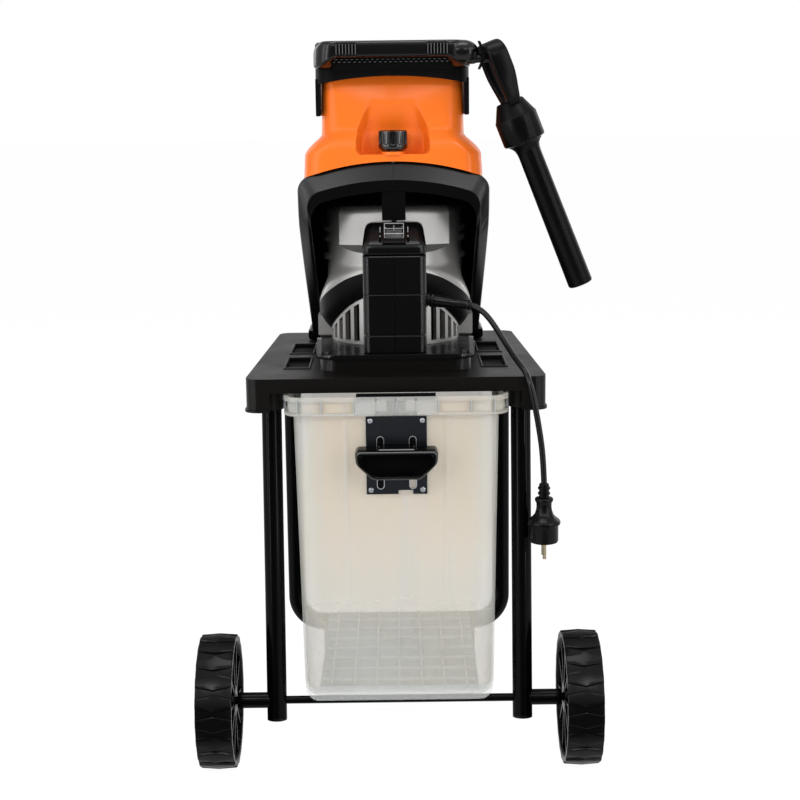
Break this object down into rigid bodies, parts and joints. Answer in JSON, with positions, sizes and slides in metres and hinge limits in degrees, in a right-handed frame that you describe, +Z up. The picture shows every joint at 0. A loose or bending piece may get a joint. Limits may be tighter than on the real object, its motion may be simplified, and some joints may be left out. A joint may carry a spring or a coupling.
{
  "type": "garden shredder",
  "caption": "Electric garden shredder: tilting feed hopper over a hooded motor and cutting disc, on a wheeled tube stand with a slide-out collection box and a stuffing plunger.",
  "frame": {"origin": "on the ground under the middle of the machine's box", "axes": "+X to the operator's right, +Y away from the operator, +Z up"},
  "size_m": [0.502, 0.4998, 0.906],
  "materials": {
    "black_plastic": "satin",
    "black_tube": "gloss",
    "wheel_plastic": "matte",
    "grey_plastic": "satin",
    "zinc_steel": "satin",
    "dark_steel": "satin",
    "copper_core": "satin",
    "orange_plastic": "satin",
    "milky_plastic": "translucent satin",
    "brass_pins": "polished",
    "cord_sheath": "satin"
  },
  "bodies": {
    "base": {"near_leg_left": "black_tube", "near_leg_right": "black_tube", "leg_end_caps": "cord_sheath", "axle_rod": "zinc_steel", "axle_spacers": "black_plastic", "axle_caps": "black_plastic", "foot_tube": "black_tube", "rear_feet": "black_plastic", "base_plate": "black_plastic", "box_runners": "zinc_steel", "hinge_brackets": "black_plastic", "hinge_pins": "zinc_steel", "motor_flange": "black_plastic", "flange_screws": "zinc_steel", "motor_can": "zinc_steel", "stator": "zinc_steel", "motor_bearings": "zinc_steel", "spindle_bearings": "zinc_steel", "motor_housing": "grey_plastic", "switch_box_left": "black_plastic", "switch_box_right": "black_plastic", "switch_cap": "black_plastic", "switch_bezel": "black_plastic", "interlock_switch": "grey_plastic", "cable_boot": "cord_sheath", "mains_cord": "cord_sheath", "mains_plug": "cord_sheath", "plug_pins": "brass_pins", "counter_blade": "zinc_steel"},
    "hopper_unit": {"hopper": "orange_plastic", "hood_left": "black_plastic", "hood_right": "black_plastic", "top_collar": "black_plastic", "feed_chute": "grey_plastic", "hood_screws": "zinc_steel", "plunger_peg": "black_plastic"},
    "lock_carrier": {"lock_washer": "zinc_steel"},
    "lock": {"lock_knob": "black_plastic", "lock_screw": "zinc_steel"},
    "plunger": {"plunger_grip": "black_plastic", "plunger_rod": "black_plastic"},
    "box": {"collection_box": "milky_plastic", "latch_plate": "dark_steel", "latch_screws": "zinc_steel"},
    "latch": {"latch_grip": "black_plastic", "latch_bar": "zinc_steel", "latch_rivets": "zinc_steel"},
    "left_wheel": {"wheel_left": "wheel_plastic"},
    "right_wheel": {"wheel_right": "wheel_plastic"},
    "rocker": {"switch_rocker": "grey_plastic"},
    "cutter": {"cutting_disc": "zinc_steel", "cutting_blades": "zinc_steel", "blade_screws": "zinc_steel", "spindle": "zinc_steel", "spindle_gear": "zinc_steel"},
    "rotor": {"armature": "copper_core", "motor_pinion": "zinc_steel", "cooling_fan": "grey_plastic"}
  },
  "joints": [
    {"name": "hopper_tilt", "type": "hinge", "parent": "base", "child": "hopper_unit", "pos_m": [0, 0.243, 0.504], "axis": [-1, 0, 0], "range_deg": [0, 80]},
    {"name": "lock_lift", "type": "slide", "parent": "hopper_unit", "child": "lock_carrier", "axis": [0, 0, 1], "range_m": [0, 0.006]},
    {"name": "lock_turn", "type": "hinge", "parent": "lock_carrier", "child": "lock", "pos_m": [0, -0.049, 0.766], "axis": [0, 0, 1], "range_deg": [0, 1080]},
    {"name": "plunger_pull", "type": "slide", "parent": "hopper_unit", "child": "plunger", "axis": [1, 0, 0], "range_m": [0, 0.12]},
    {"name": "box_slide", "type": "slide", "parent": "base", "child": "box", "axis": [0, -1, 0], "range_m": [0, 0.42]},
    {"name": "latch_slide", "type": "slide", "parent": "box", "child": "latch", "axis": [0, 0, 1], "range_m": [0, 0.014]},
    {"name": "left_wheel_spin", "type": "hinge", "parent": "base", "child": "left_wheel", "pos_m": [-0.228, -0.164, 0.085], "axis": [1, 0, 0], "continuous": true},
    {"name": "right_wheel_spin", "type": "hinge", "parent": "base", "child": "right_wheel", "pos_m": [0.228, -0.164, 0.085], "axis": [1, 0, 0], "continuous": true},
    {"name": "rocker_tip", "type": "hinge", "parent": "base", "child": "rocker", "pos_m": [0, -0.07785, 0.66637], "axis": [1, 0, 0], "range_deg": [0, 14]},
    {"name": "cutter_spin", "type": "hinge", "parent": "base", "child": "cutter", "pos_m": [0, 0.118, 0.492], "axis": [0, 0, 1], "continuous": true},
    {"name": "rotor_spin", "type": "hinge", "parent": "base", "child": "rotor", "pos_m": [0, 0.058, 0.592], "axis": [0, 0, 1], "continuous": true}
  ],
  "couplings": [
    {"joint": "rotor_spin", "follows": "cutter_spin", "ratio": -4},
    {"joint": "lock_lift", "follows": "lock_turn", "m_per_rad": 0.00031831}
  ]
}
